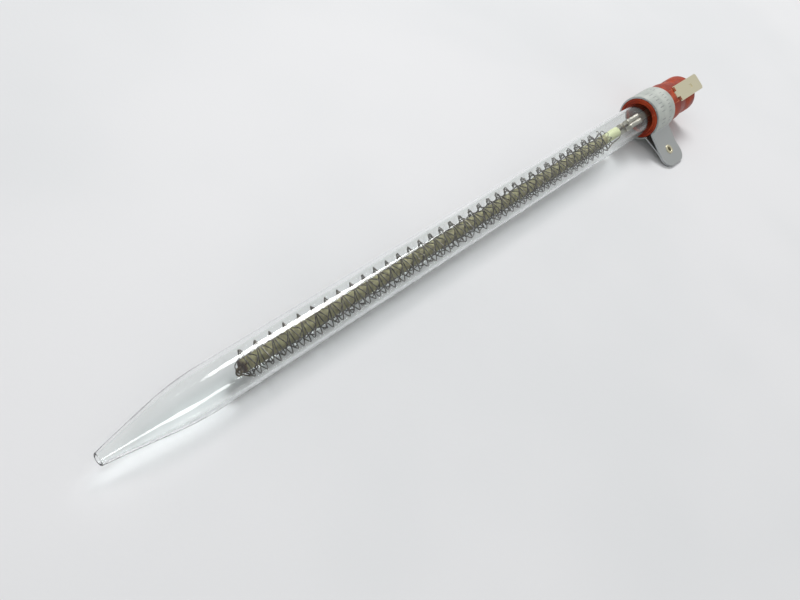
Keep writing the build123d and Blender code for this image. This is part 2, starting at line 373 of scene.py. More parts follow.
def put_in_place(
    bm: bmesh.types.BMesh, placing: Placing, material: bpy.types.Material, roll: float,
    smooth_degrees: float = 35.0, edge_round: float = 0.0,
) -> bpy.types.Object:
    """Makes a finished object of a bmesh that was drawn in the maker's pose.

    Args:
        bm: The piece.
        placing: Its name and what it belongs to.
        material: Its finish.
        roll: The turn about X that brings the maker's pose to the row frame.
        smooth_degrees: Edges flatter than this are shaded smooth.
        edge_round: Width of the small rounding on sharp edges, or 0.

    Returns:
        The object, riding on its body.
    """
    bmesh.ops.transform(bm, matrix=Matrix.Rotation(roll, 4, "X"), verts=bm.verts)
    for face in bm.faces:
        face.smooth = True
    mesh = as_mesh(bm, placing.name)
    mesh.set_sharp_from_angle(angle=math.radians(smooth_degrees))
    mesh.materials.append(material)
    piece = bpy.data.objects.new(placing.name, mesh)
    bpy.context.scene.collection.objects.link(piece)
    if edge_round:
        rounding = piece.modifiers.new("edge_round", "BEVEL")
        rounding.width, rounding.segments = edge_round, 3
        rounding.limit_method, rounding.angle_limit = "ANGLE", math.radians(smooth_degrees)
        rounding.harden_normals = True
    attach(piece, placing.body)
    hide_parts(placing.node)
    log.info("%s: %d faces, on %s", placing.name, len(mesh.polygons), placing.body)
    return piece


# ---------------------------------------------------------------- shared shader effects


def srgb(red: int, green: int, blue: int) -> Colour:
    """Turns an 8-bit display colour into the linear colour that shaders take."""

    def linear(value: int) -> float:
        """One channel."""
        share = value / 255
        return share / 12.92 if share <= 0.04045 else ((share + 0.055) / 1.055) ** 2.4

    return (linear(red), linear(green), linear(blue), 1.0)


class Bench:
    """Adds nodes to a tree by short calls."""

    def __init__(self, tree: bpy.types.NodeTree) -> None:
        """Starts on an empty or existing tree."""
        self.tree = tree

    def add(self, kind: str, inputs: dict | None = None, **settings) -> bpy.types.Node:
        """Adds a node.

        Args:
            kind: The node type without its ShaderNode prefix.
            inputs: Values or output sockets for its inputs, by name or place.
            settings: Its properties.

        Returns:
            The node.
        """
        node = self.tree.nodes.new("ShaderNode" + kind)
        for name, value in settings.items():
            setattr(node, name, value)
        for key, value in (inputs or {}).items():
            socket = node.inputs[key]
            if isinstance(value, bpy.types.NodeSocket):
                self.tree.links.new(value, socket)
            else:
                socket.default_value = value
        return node

    def feed(self, node: bpy.types.Node, name: str, value: bpy.types.NodeSocket) -> None:
        """Links a socket to a node's input."""
        self.tree.links.new(value, node.inputs[name])

    def maths(self, operation: str, *values) -> bpy.types.NodeSocket:
        """A Math node's result for values or sockets."""
        node = self.add("Math", dict(enumerate(values)), operation=operation)
        return node.outputs[0]

    def remap(
        self, value: bpy.types.NodeSocket, low: float, high: float, to: Point2 = (0, 1)
    ) -> bpy.types.NodeSocket:
        """Maps low..high of a value onto a smooth step between the two numbers in to."""
        node = self.add(
            "MapRange",
            {"Value": value, "From Min": low, "From Max": high, "To Min": to[0], "To Max": to[1]},
            interpolation_type="SMOOTHSTEP",
        )
        return node.outputs["Result"]

    def mix(self, factor, first, second, blend: str = "MIX") -> bpy.types.NodeSocket:
        """A colour mix's result."""
        node = self.tree.nodes.new("ShaderNodeMix")
        node.data_type, node.blend_type = "RGBA", blend
        for place, value in ((0, factor), (6, first), (7, second)):
            if isinstance(value, bpy.types.NodeSocket):
                self.tree.links.new(value, node.inputs[place])
            else:
                node.inputs[place].default_value = value
        return node.outputs[2]

    def group(self, tree: bpy.types.NodeTree, inputs: dict) -> bpy.types.Node:
        """Places a shared effect with its own values."""
        node = self.tree.nodes.new("ShaderNodeGroup")
        node.node_tree = tree
        for key, value in inputs.items():
            if isinstance(value, bpy.types.NodeSocket):
                self.tree.links.new(value, node.inputs[key])
            else:
                node.inputs[key].default_value = value
        return node


def new_effect(name: str, inputs: dict[str, float], outputs: list[str]) -> tuple[Bench, dict, dict]:
    """Starts a node group with float sockets.

    Args:
        name: The group's name.
        inputs: Its inputs and their usual values.
        outputs: Its outputs.

    Returns:
        The bench on its tree, its input sockets and its output sockets by name.
    """
    tree = bpy.data.node_groups.new(name, "ShaderNodeTree")
    for key, value in inputs.items():
        tree.interface.new_socket(key, in_out="INPUT", socket_type="NodeSocketFloat").default_value = value
    for key in outputs:
        tree.interface.new_socket(key, in_out="OUTPUT", socket_type="NodeSocketFloat")
    entry, exit_node = tree.nodes.new("NodeGroupInput"), tree.nodes.new("NodeGroupOutput")
    return Bench(tree), {k: entry.outputs[k] for k in inputs}, {k: exit_node.inputs[k] for k in outputs}


def make_grain_effect() -> bpy.types.NodeTree:
    """Fine even grain with slow patches: a height for bumps and a mask for colour."""
    bench, given, out = new_effect("grain", {"Scale": 1000.0, "Patch Scale": 100.0}, ["Height", "Patches"])
    place = bench.add("TexCoord").outputs["Object"]
    fine = bench.add("TexNoise", {"Vector": place, "Scale": given["Scale"], "Detail": 4.0, "Roughness": 0.6})
    slow = bench.add("TexNoise", {"Vector": place, "Scale": given["Patch Scale"], "Detail": 3.0})
    bench.tree.links.new(fine.outputs["Fac"], out["Height"])
    bench.tree.links.new(bench.remap(slow.outputs["Fac"], 0.35, 0.65), out["Patches"])
    return bench.tree


def make_scratch_effect() -> bpy.types.NodeTree:
    """Fine straight marks along X, as rolled and handled metal has: a mask and a height."""
    usual = {"Scale": 1500.0, "Stretch": 0.06, "Amount": 0.4}
    bench, given, out = new_effect("scratches", usual, ["Mask", "Height"])
    place = bench.add("TexCoord").outputs["Object"]
    parts = bench.add("SeparateXYZ", {"Vector": place})
    along = bench.maths("MULTIPLY", parts.outputs["X"], given["Stretch"])
    squeezed = bench.add("CombineXYZ", {"X": along, "Y": parts.outputs["Y"], "Z": parts.outputs["Z"]})
    lines = bench.add(
        "TexNoise",
        {"Vector": squeezed.outputs[0], "Scale": given["Scale"], "Detail": 5.0, "Roughness": 0.7},
    )
    ridge = bench.remap(lines.outputs["Fac"], 0.55, 0.75)
    bench.tree.links.new(bench.maths("MULTIPLY", ridge, given["Amount"]), out["Mask"])
    bench.tree.links.new(lines.outputs["Fac"], out["Height"])
    return bench.tree


def make_wear_and_shade_effect() -> bpy.types.NodeTree:
    """A mask of worn outer edges broken up by noise, and a mask of concave places for painted shade."""
    bench, given, out = new_effect("edge_wear_and_hollow_shade", {"Amount": 1.0, "Breakup Scale": 700.0}, ["Edges", "Painted Hollow Shade"])
    place = bench.add("TexCoord").outputs["Object"]
    noise = bench.add(
        "TexNoise", {"Vector": place, "Scale": given["Breakup Scale"], "Detail": 3.0}
    ).outputs["Fac"]
    shape = bench.add("NewGeometry").outputs["Pointiness"]
    edges = bench.maths("MULTIPLY", bench.remap(shape, 0.52, 0.6), bench.remap(noise, 0.3, 0.7))
    # Painted shade: a mask of concave places, used to darken them.
    painted_hollow_shade = bench.remap(shape, 0.48, 0.4)
    bench.tree.links.new(bench.maths("MULTIPLY", edges, given["Amount"]), out["Edges"])
    bench.tree.links.new(bench.maths("MULTIPLY", painted_hollow_shade, given["Amount"]), out["Painted Hollow Shade"])
    return bench.tree


@dataclass(frozen=True)
class Effects:
    """The node groups that several finishes share."""

    grain: bpy.types.NodeTree
    scratches: bpy.types.NodeTree
    wear_and_shade: bpy.types.NodeTree

    @classmethod
    def make(cls) -> "Effects":
        """Builds each group once."""
        return cls(make_grain_effect(), make_scratch_effect(), make_wear_and_shade_effect())


def new_material(name: str) -> tuple[bpy.types.Material, Bench, bpy.types.Node, bpy.types.Node]:
    """A material with a Principled shader.

    Args:
        name: The finish's name.

    Returns:
        The material, the bench on its tree, its shader and its output node.
    """
    material = bpy.data.materials.new(name)
    material.use_nodes = True
    tree = material.node_tree
    tree.nodes.clear()
    bench = Bench(tree)
    shader, output = bench.add("BsdfPrincipled"), bench.add("OutputMaterial")
    tree.links.new(shader.outputs[0], output.inputs["Surface"])
    return material, bench, shader, output


def bump(bench: Bench, shader: bpy.types.Node, height: bpy.types.NodeSocket, depth: float) -> None:
    """Feeds a height in metres times depth to the shader's normal."""
    node = bench.add("Bump", {"Height": height, "Strength": 1.0, "Distance": depth})
    bench.feed(shader, "Normal", node.outputs["Normal"])


# ---------------------------------------------------------------- finishes


@dataclass(frozen=True)
class QuartzFinish:
    """Clear fused quartz: light passes, lamps' light goes through to what is behind."""

    name: str = "quartz"
    tint: Colour = (0.97, 0.985, 0.98, 1.0)
    shadow_tint: Colour = (0.80, 0.81, 0.81, 1.0)
    index: float = 1.46

    def make(self, effects: Effects) -> bpy.types.Material:
        """Builds the material.

        Args:
            effects: The shared node groups.

        Returns:
            The material.
        """
        material, bench, shader, output = new_material(self.name)
        shader.inputs["IOR"].default_value = self.index
        shader.inputs["Transmission Weight"].default_value = 1.0
        grain = bench.group(effects.grain, {"Scale": 260.0, "Patch Scale": 90.0})
        colour = bench.mix(grain.outputs["Patches"], self.tint, (0.94, 0.955, 0.95, 1.0))
        bench.feed(shader, "Base Color", colour)
        haze = bench.remap(grain.outputs["Patches"], 0.0, 1.0, (0.0, 0.02))
        bench.feed(shader, "Roughness", haze)
        bump(bench, shader, grain.outputs["Height"], 0.02 * MM)
        lamp_path = bench.add("BsdfTransparent", {"Color": self.shadow_tint})
        is_shadow = bench.add("LightPath").outputs["Is Shadow Ray"]
        both = bench.add("MixShader", {0: is_shadow, 1: shader.outputs[0], 2: lamp_path.outputs[0]})
        bench.tree.links.new(both.outputs[0], output.inputs["Surface"])
        return material


@dataclass(frozen=True)
class SiliconeFinish:
    """Moulded red-orange silicone: satin, with painted shade darkening its recesses, paler rubbed edges and
    pale dust specks.
    """

    name: str = "silicone"
    colour: Colour = srgb(172, 60, 20)
    deep_tone_and_shade: Colour = srgb(138, 38, 12)
    dust: Colour = srgb(205, 130, 95)

    def make(self, effects: Effects) -> bpy.types.Material:
        """Builds the material.

        Args:
            effects: The shared node groups.

        Returns:
            The material.
        """
        material, bench, shader, _ = new_material(self.name)
        grain = bench.group(effects.grain, {"Scale": 4200.0, "Patch Scale": 260.0})
        wear_and_shade = bench.group(effects.wear_and_shade, {"Amount": 0.5, "Breakup Scale": 900.0})
        body = bench.mix(grain.outputs["Patches"], self.deep_tone_and_shade, self.colour)
        # Painted shade: concave places are darkened toward the deep red tone.
        body = bench.mix(bench.maths("MULTIPLY", wear_and_shade.outputs["Painted Hollow Shade"], 0.7), body, self.deep_tone_and_shade)
        body = bench.mix(wear_and_shade.outputs["Edges"], body, self.dust)
        speck = bench.maths("MULTIPLY", bench.remap(grain.outputs["Height"], 0.64, 0.72), 0.35)
        bench.feed(shader, "Base Color", bench.mix(speck, body, self.dust))
        bench.feed(shader, "Roughness", bench.remap(grain.outputs["Patches"], 0.0, 1.0, (0.42, 0.56)))
        shader.inputs["Subsurface Weight"].default_value = 0.12
        shader.inputs["Specular IOR Level"].default_value = 0.3
        shader.inputs["Subsurface Radius"].default_value = (0.9 * MM, 0.25 * MM, 0.1 * MM)
        shader.inputs["Subsurface Scale"].default_value = 1.0
        bump(bench, shader, grain.outputs["Height"], 0.03 * MM)
        return material


@dataclass(frozen=True)
class CeramicFinish:
    """Alumina rod, olive where the coil has baked it, pale at the bare end, sooty at the tip."""

    name: str
    start_x: float
    bare_x: float
    baked: Colour = srgb(158, 154, 112)
    dark: Colour = srgb(118, 112, 78)
    bare: Colour = srgb(205, 210, 165)
    soot: Colour = srgb(62, 38, 26)

    def make(self, effects: Effects) -> bpy.types.Material:
        """Builds the material.

        Args:
            effects: The shared node groups.

        Returns:
            The material.
        """
        material, bench, shader, _ = new_material(self.name)
        grain = bench.group(effects.grain, {"Scale": 3800.0, "Patch Scale": 700.0})
        along = bench.add("SeparateXYZ", {"Vector": bench.add("TexCoord").outputs["Object"]}).outputs["X"]
        body = bench.mix(grain.outputs["Patches"], self.dark, self.baked)
        end = bench.remap(along, self.bare_x - 1.0 * MM, self.bare_x + 1.5 * MM)
        body = bench.mix(end, body, self.bare)
        uneven = bench.maths("MULTIPLY_ADD", grain.outputs["Patches"], 1.2 * MM, along)
        tip = bench.remap(uneven, self.start_x + 2.0 * MM, self.start_x + 0.4 * MM)
        bench.feed(shader, "Base Color", bench.mix(tip, body, self.soot))
        bench.feed(shader, "Roughness", bench.remap(grain.outputs["Height"], 0.3, 0.7, (0.55, 0.75)))
        bump(bench, shader, grain.outputs["Height"], 0.06 * MM)
        return material


@dataclass(frozen=True)
class MetalFinish:
    """Bare metal with rolling marks, stains, and painted shade darkening its recesses."""

    name: str
    colour: Colour
    stain_and_shade: Colour
    rough: Point2 = (0.3, 0.45)
    metallic: float = 1.0
    stain_amount: float = 0.5
    scratch_amount: float = 0.3
    grain_scale: float = 2500.0
    patch_scale: float = 350.0
    depth: float = 0.02 * MM

    def make(self, effects: Effects) -> bpy.types.Material:
        """Builds the material.

        Args:
            effects: The shared node groups.

        Returns:
            The material.
        """
        material, bench, shader, _ = new_material(self.name)
        shader.inputs["Metallic"].default_value = self.metallic
        grain = bench.group(effects.grain, {"Scale": self.grain_scale, "Patch Scale": self.patch_scale})
        marks = bench.group(
            effects.scratches, {"Scale": 4000.0, "Stretch": 0.08, "Amount": self.scratch_amount}
        )
        wear_and_shade = bench.group(effects.wear_and_shade, {"Amount": 0.6, "Breakup Scale": 1200.0})
        stained = bench.maths("MULTIPLY", grain.outputs["Patches"], self.stain_amount)
        body = bench.mix(stained, self.colour, self.stain_and_shade)
        body = bench.mix(marks.outputs["Mask"], body, self.stain_and_shade)
        # Painted shade: concave places are darkened toward the second, darker colour.
        body = bench.mix(bench.maths("MULTIPLY", wear_and_shade.outputs["Painted Hollow Shade"], 0.8), body, self.stain_and_shade)
        bench.feed(shader, "Base Color", body)
        bench.feed(shader, "Roughness", bench.remap(grain.outputs["Patches"], 0.0, 1.0, self.rough))
        height = bench.maths("MULTIPLY_ADD", marks.outputs["Height"], 0.6, grain.outputs["Height"])
        bump(bench, shader, height, self.depth)
        return material


@dataclass(frozen=True)
class LabelFinish:
    """Printed polyester label: pale grey film with two rows of plain short strokes."""

    name: str = "label_film"
    film: Colour = srgb(192, 196, 190)
    worn: Colour = srgb(172, 178, 172)
    ink: Colour = srgb(140, 142, 142)
    rows: tuple = ((0.33, 0.10, 1.55), (0.73, 0.06, 1.3))

    def make(self, effects: Effects) -> bpy.types.Material:
        """Builds the material; the strokes follow the label's own UV map, in millimetres.

        Args:
            effects: The shared node groups.

        Returns:
            The material.
        """
        material, bench, shader, _ = new_material(self.name)
        grain = bench.group(effects.grain, {"Scale": 3000.0, "Patch Scale": 240.0})
        spot = bench.add("SeparateXYZ", {"Vector": bench.add("UVMap", uv_map="wrap").outputs[0]})
        around, across = spot.outputs["X"], spot.outputs["Y"]
        printed = None
        for centre, half, pitch in self.rows:
            step = bench.maths("DIVIDE", around, pitch)
            cell = bench.maths("FLOOR", step)
            chance = bench.add("TexWhiteNoise", {"W": cell}, noise_dimensions="1D")
            share = bench.maths("FRACT", step)
            width = bench.maths("MULTIPLY_ADD", chance.outputs["Value"], 0.22, 0.08)
            stroke = bench.maths("LESS_THAN", share, width)
            off_row = bench.maths("ABSOLUTE", bench.maths("SUBTRACT", across, centre))
            row = bench.maths("LESS_THAN", off_row, half)
            gap = bench.maths("GREATER_THAN", chance.outputs["Value"], 0.3)
            mask = bench.maths("MULTIPLY", bench.maths("MULTIPLY", stroke, row), gap)
            printed = mask if printed is None else bench.maths("MAXIMUM", printed, mask)
        film = bench.mix(grain.outputs["Patches"], self.worn, self.film)
        ink = bench.maths("MULTIPLY", printed, bench.remap(grain.outputs["Height"], 0.3, 0.5, (0.55, 0.9)))
        bench.feed(shader, "Base Color", bench.mix(ink, film, self.ink))
        bench.feed(shader, "Roughness", bench.remap(grain.outputs["Patches"], 0.0, 1.0, (0.38, 0.5)))
        bump(bench, shader, grain.outputs["Height"], 0.01 * MM)
        return material


@dataclass(frozen=True)
class TableFinish:
    """Painted pale table, faintly uneven."""

    name: str = "table"
    colour: Colour = srgb(226, 226, 228)
    shade: Colour = srgb(220, 221, 223)

    def make(self, effects: Effects) -> bpy.types.Material:
        """Builds the material.

        Args:
            effects: The shared node groups.

        Returns:
            The material.
        """
        material, bench, shader, _ = new_material(self.name)
        grain = bench.group(effects.grain, {"Scale": 900.0, "Patch Scale": 9.0})
        bench.feed(shader, "Base Color", bench.mix(grain.outputs["Patches"], self.shade, self.colour))
        shader.inputs["Roughness"].default_value = 0.6
        bump(bench, shader, grain.outputs["Height"], 0.02 * MM)
        return material


BRASS = MetalFinish(
    "terminal_brass", srgb(252, 244, 212), srgb(228, 212, 165), rough=(0.28, 0.42), metallic=0.3,
    stain_amount=0.45,
)
NICKEL = MetalFinish(
    "ferrule_nickel", srgb(88, 86, 72), srgb(48, 45, 36), rough=(0.42, 0.58), stain_amount=0.8,
)
ALUMINIUM = MetalFinish(
    "strap_aluminium", srgb(168, 171, 174), srgb(128, 131, 134), rough=(0.42, 0.55), stain_amount=0.5,
)
EYELET_BRASS = MetalFinish(
    "eyelet_brass", srgb(186, 180, 140), srgb(110, 104, 78), rough=(0.25, 0.42), stain_amount=0.6,
)
RESISTANCE_WIRE = MetalFinish(
    "resistance_wire", srgb(128, 124, 118), srgb(62, 58, 54), rough=(0.3, 0.5), stain_amount=0.9,
    patch_scale=900.0,
)
LEAD_WIRE = MetalFinish(
    "lead_wire", srgb(120, 112, 96), srgb(58, 48, 38), rough=(0.32, 0.5), stain_amount=0.9, patch_scale=900.0,
)


# ---------------------------------------------------------------- sub-assemblies


@dataclass
class QuartzTube:
    """The clear tube, drawn down to a nozzle whose tip is slightly off line."""

    layout: Layout
    wall: float = 1.0 * MM
    mouth_r: float = 1.5 * MM
    mouth_bore_r: float = 1.0 * MM
    taper_length: float = 22.2 * MM
    shoulder: float = 78.0 * MM
    rim: float = 0.2 * MM
    tip_sag: float = 0.5 * MM
    taper_parts: int = 8
    segments: int = 128
    arc_steps: int = 12

    def build(self) -> bmesh.types.BMesh:
        """Turns the tube and eases its tip off line.

        Returns:
            The tube's solid.
        """
        at = self.layout
        corner_x = at.mouth_x + self.taper_length
        bore_r = at.tube_r - self.wall
        corners = [
            (at.mouth_x, self.mouth_r), (corner_x, at.tube_r), (at.tube_end_x, at.tube_r),
            (at.tube_end_x, bore_r), (corner_x, bore_r), (at.mouth_x, self.mouth_bore_r),
        ]
        radii = {0: self.rim, 2: self.rim, 3: self.rim, 5: self.rim}
        soft = rounded(corners, radii | {1: self.shoulder, 4: self.shoulder}, steps=self.arc_steps)
        bm = turned(soft, self.segments)
        cut_across(bm, [
            at.mouth_x + self.taper_length * cut / self.taper_parts for cut in range(1, self.taper_parts)
        ])
        for vert in bm.verts:
            share = max(0.0, (corner_x - vert.co.x) / self.taper_length)
            vert.co.y -= self.tip_sag * share * share
        return bm

    def dress(self, bm: bmesh.types.BMesh, effects: Effects) -> bpy.types.Object:
        """Gives the tube its clear finish and its place."""
        placing = Placing("drawn_tube", "element", "quartz_tube", "quartz")
        return put_in_place(bm, placing, QuartzFinish().make(effects), self.layout.roll, 40.0)


@dataclass
class HeaterCore:
    """What heats the air: the ceramic rod, the wire wound on it and the two bare leads."""

    layout: Layout
    rod_bore_r: float = 0.6 * MM
    rod_chamfer: float = 0.15 * MM
    rod_segments: int = 48
    rod_parts: int = 40
    corners_per_turn: float = 2.77
    ridge_pitch: float = 4.57 * MM
    corner_r: float = 2.76 * MM
    side_dip: float = 0.93 * MM
    start_angle: float = 0.85
    unevenness: float = 0.03
    turn_points: int = 24
    end_room: float = 1.2 * MM
    wire_r: float = 0.15 * MM
    lead_in: float = 1.16 * MM
    eye_ahead: float = 1.3 * MM
    eye_side: float = -0.85 * MM
    eye_r: float = 0.65 * MM
    eye_wire_r: tuple[float, float] = (0.24 * MM, 0.22 * MM)
    twists: float = 7.5
    twist_steps: int = 90
    lead_r: float = 0.26 * MM
    strand_r: float = 0.2 * MM
    strip_top: float = 1.8 * MM

    def build_rod(self) -> bmesh.types.BMesh:
        """Turns the hollow ceramic rod.

        Returns:
            The rod's solid.
        """
        at, c = self.layout, self.rod_chamfer
        start, end, outer, inner = at.core_start_x, at.core_end_x, at.core_r, self.rod_bore_r
        outline = [
            (start, inner + c), (start, outer - c), (start + c, outer), (end - c, outer),
            (end, outer - c), (end, inner + c), (end - c, inner), (start + c, inner),
        ]
        bm = turned(outline, self.rod_segments)
        span = (end - start) / self.rod_parts
        cut_across(bm, [start + span * cut for cut in range(1, self.rod_parts)])
        return bm

    def coil_line(self) -> list[Vector]:
        """The centre line of the wire: triangles wound round the rod, each turned a little further.

        Returns:
            Its points.
        """
        at = self.layout
        draw = random.Random(SEED)
        step_angle = 360 / self.corners_per_turn
        corner_drift = abs(3 * step_angle - 360)
        turns_per_ridge = (120 / corner_drift) * (3 * step_angle / 360)
        advance = self.ridge_pitch / turns_per_ridge
        turns = (at.coil_end_x - at.coil_start_x - self.end_room) / advance
        sway = [draw.uniform(-1, 1) for _ in range(int(turns * self.corners_per_turn) + 3)]
        swell = [draw.uniform(-1, 1) for _ in range(len(sway))]
        points = []
        for place in range(int(turns * self.turn_points) + 1):
            turn = place / self.turn_points
            angle = math.tau * turn
            index, part = divmod(turn * self.corners_per_turn, 1.0)
            index, ease = int(index), part * part * (3 - 2 * part)
            shift = sway[index] * (1 - ease) + sway[index + 1] * ease
            fat = swell[index] * (1 - ease) + swell[index + 1] * ease
            corner_r = self.corner_r * (1 + self.unevenness * fat)
            inner = (self.corners_per_turn - 1) * angle
            y = corner_r * math.cos(angle) + self.side_dip * math.cos(inner)
            z = -corner_r * math.sin(angle) + self.side_dip * math.sin(inner)
            cos, sin = math.cos(self.start_angle), math.sin(self.start_angle)
            x = at.coil_start_x + self.wire_r + advance * turn + self.unevenness * self.ridge_pitch * shift
            points.append(Vector((x, y * cos - z * sin, y * sin + z * cos)))
        return points

    def last_turn(self) -> list[Vector]:
        """The small close turn at the rear end of the coil, snug on the rod."""
        at = self.layout
        radius, pitch = at.core_r + 0.75 * MM, 2.2 * MM
        points = []
        for place in range(97):
            turn = place / 96 * 1.25
            angle, loop = math.tau * turn, math.tau * 9 * turn
            out = Vector((0.0, -math.cos(angle), -math.sin(angle)))
            side = Vector((1.0, 0.0, 0.0))
            centre = Vector((at.coil_end_x + 0.4 * MM + pitch * turn, 0, 0)) + out * radius
            points.append(centre + out * (0.5 * MM * math.cos(loop)) + side * (0.5 * MM * math.sin(loop)))
        return points

    def build_coil(self) -> bmesh.types.BMesh:
        """Draws the winding.

        Returns:
            One long wire, with the snug end turn.
        """
        return gathered([
            drawn_wire(self.coil_line(), self.wire_r, sides=8, smooth=False),
            drawn_wire(self.last_turn(), self.wire_r * 0.9, sides=8, smooth=False),
        ])

    def build_return_wire(self) -> bmesh.types.BMesh:
        """Draws the wire that comes back through the rod: eye, tail, core run and twisted pair.

        Returns:
            The wires together.
        """
        at = self.layout
        eye_x, eye_y, eye_r = at.core_start_x - self.eye_ahead, self.eye_side, self.eye_r
        ring = [
            Vector((eye_x + eye_r * math.cos(a), eye_y + eye_r * math.sin(a), 0))
            for a in (math.tau * step / 24 for step in range(24))
        ]
        ring_two = [point + Vector((0.35 * MM, 0.35 * MM, 0.4 * MM)) for point in ring]
        start_x = at.coil_start_x + self.lead_in
        centre_r = (at.coil_r + at.core_r) / 2
        tail = [
            Vector((eye_x + 0.3 * MM, eye_y - eye_r, 0)), Vector((eye_x + 1.0 * MM, eye_y - 1.2 * MM, 0)),
            Vector((start_x - 0.2 * MM, -centre_r, 0)),
            Vector((start_x + 0.5 * MM, -centre_r - 0.2 * MM, -0.5 * MM)),
        ]
        inside = [Vector((at.core_start_x - 1.6 * MM, 0, 0)), Vector((at.core_end_x - 1.0 * MM, 0, 0))]
        wire_height = self.strip_top + self.lead_r
        rise = [
            Vector((at.core_end_x - 2.0 * MM, 0, 0)), Vector((at.core_end_x + 1.2 * MM, 0.1 * MM, 0.1 * MM)),
            Vector((at.ferrule_start_x - 1.6 * MM, 0.1 * MM, wire_height * 0.9)),
            Vector((at.ferrule_start_x + 0.6 * MM, 0, wire_height)),
            Vector((at.ferrule_start_x + 3.0 * MM, 0, wire_height)),
        ]
        strands = self.twisted(rise, self.twists)
        wires = [
            drawn_wire(ring, self.eye_wire_r[0], sides=10, smooth=False, closed=True),
            drawn_wire(ring_two, self.eye_wire_r[1], sides=10, smooth=False, closed=True),
            drawn_wire(tail, self.strand_r, sides=10),
            drawn_wire(inside, self.lead_r, sides=10, smooth=False),
        ]
        wires += [drawn_wire(strand, self.strand_r, sides=8, smooth=False) for strand in strands]
        return gathered(wires)

    def twisted(self, corners: list[Vector], turns: float) -> list[list[Vector]]:
        """Two strands twisted along a soft line.

        Args:
            corners: The line's control points.
            turns: How many full twists it has.

        Returns:
            The two strands' points.
        """
        steps, spans = self.twist_steps, len(corners) - 1
        line = []
        for step in range(steps + 1):
            at = min(step / steps * spans, spans - 1e-6)
            index, part = int(at), at % 1.0
            ends = [corners[min(max(index + near, 0), spans)] for near in (-1, 0, 1, 2)]
            bend_in, bend_out = (ends[2] - ends[0]) / 2, (ends[3] - ends[1]) / 2
            line.append(
                ends[1] * (2 * part**3 - 3 * part**2 + 1) + bend_in * (part**3 - 2 * part**2 + part)
                + ends[2] * (3 * part**2 - 2 * part**3) + bend_out * (part**3 - part**2)
            )
        strands: list[list[Vector]] = [[], []]
        for step, point in enumerate(line):
            ahead = line[min(step + 1, steps)] - line[max(step - 1, 0)]
            across = Vector((0, 1, 0)).cross(ahead).normalized()
            other = ahead.cross(across).normalized()
            angle = math.tau * turns * step / steps
            offset = (across * math.cos(angle) + other * math.sin(angle)) * (self.strand_r * 0.95)
            strands[0].append(point + offset)
            strands[1].append(point - offset)
        return strands

    def build_coil_lead(self) -> bmesh.types.BMesh:
        """Draws the lead from the coil's last turn, along the rod's side, to the lower ferrule.

        Returns:
            The wire.
        """
        at = self.layout
        coil_end, rod_end, ferrule = at.coil_end_x - self.lead_in, at.core_end_x, at.ferrule_start_x
        height = self.strip_top + self.lead_r
        route = [
            (coil_end - 0.2 * MM, -2.85 * MM, 0.2 * MM), (coil_end + 1.4 * MM, -3.3 * MM, 0.0),
            (coil_end + 3.4 * MM, -2.95 * MM, -0.1 * MM), (coil_end + 6.0 * MM, -2.35 * MM, -0.1 * MM),
            (rod_end - 1.2 * MM, -2.15 * MM, -0.2 * MM), (rod_end + 2.0 * MM, -1.7 * MM, -0.9 * MM),
            (ferrule - 1.2 * MM, -0.4 * MM, -0.9 * height), (ferrule + 1.0 * MM, 0.0, -height),
            (ferrule + 3.0 * MM, 0.0, -height),
        ]
        return drawn_wire([Vector(spot) for spot in route], self.strand_r, sides=10)

    def dress(self, effects: Effects) -> list[bpy.types.Object]:
        """Builds the four pieces, gives them their finishes and puts them in place.

        Args:
            effects: The shared node groups.

        Returns:
            The pieces.
        """
        at = self.layout
        ceramic = CeramicFinish("ceramic", at.core_start_x, at.coil_end_x + 1.5 * MM).make(effects)
        coil_wire, lead_wire = RESISTANCE_WIRE.make(effects), LEAD_WIRE.make(effects)
        jobs = [
            (self.build_rod(), Placing("ceramic_rod", "element", "ceramic_core", "ceramic"), ceramic),
            (
                self.build_coil(), Placing("coiled_coil", "element", "heating_coil", "resistance_wire"),
                coil_wire,
            ),
            (
                self.build_return_wire(), Placing("through_wire", "element", "return_wire", "lead_wire"),
                lead_wire,
            ),
            (self.build_coil_lead(), Placing("side_lead", "element", "coil_lead", "lead_wire"), lead_wire),
        ]
        return [put_in_place(bm, placing, material, at.roll, 50.0) for bm, placing, material in jobs]


